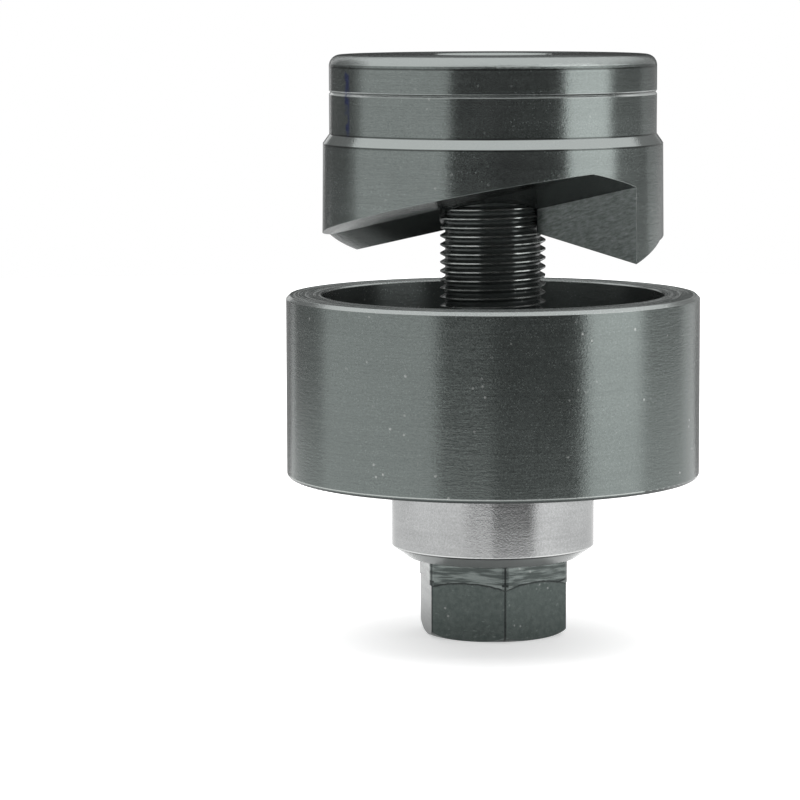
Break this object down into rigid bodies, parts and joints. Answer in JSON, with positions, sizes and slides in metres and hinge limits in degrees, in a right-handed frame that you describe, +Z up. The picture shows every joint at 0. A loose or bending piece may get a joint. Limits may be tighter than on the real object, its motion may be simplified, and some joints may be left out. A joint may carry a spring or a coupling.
{
  "type": "knockout punch",
  "caption": "Slug-splitting knockout punch with die cup, threaded draw stud and thrust ball bearing, standing on its hexagon head.",
  "frame": {"origin": "middle of the hexagon head's end face, the lowest point of the tool as it stands", "axes": "+Z up along the draw stud, from the hexagon head to the punch"},
  "size_m": [0.0746, 0.0746, 0.1048],
  "materials": {
    "black_oxide_steel": "satin black oxide",
    "oiled_black_steel": "satin black oxide, oiled",
    "satin_steel": "satin",
    "race_steel": "ground",
    "cage_steel": "satin",
    "ball_steel": "polished"
  },
  "bodies": {
    "die": {"die": "black_oxide_steel", "upper_race": "race_steel", "bearing_cover": "satin_steel"},
    "draw_stud": {"draw_stud": "oiled_black_steel", "lower_race": "race_steel"},
    "ball_cage": {"ball_cage": "cage_steel", "ball_01": "ball_steel", "ball_02": "ball_steel", "ball_03": "ball_steel", "ball_04": "ball_steel", "ball_05": "ball_steel", "ball_06": "ball_steel", "ball_07": "ball_steel", "ball_08": "ball_steel", "ball_09": "ball_steel", "ball_10": "ball_steel", "ball_11": "ball_steel", "ball_12": "ball_steel", "ball_13": "ball_steel", "ball_14": "ball_steel"},
    "punch": {"punch": "black_oxide_steel"}
  },
  "joints": [
    {"name": "punch_travel", "type": "slide", "parent": "die", "child": "punch", "axis": [0, 0, 1], "range_m": [-0.02461, 0.01905]},
    {"name": "stud_turn", "type": "hinge", "parent": "die", "child": "draw_stud", "pos_m": [0, 0, 0.0141], "axis": [0, 0, 1], "range_deg": [-4321, 5581]},
    {"name": "cage_turn", "type": "hinge", "parent": "die", "child": "ball_cage", "pos_m": [0, 0, 0.02142], "axis": [0, 0, 1], "range_deg": [-2161, 2791]}
  ],
  "couplings": [
    {"joint": "stud_turn", "follows": "punch_travel", "rad_per_m": -3957.9},
    {"joint": "cage_turn", "follows": "punch_travel", "rad_per_m": -1979}
  ]
}
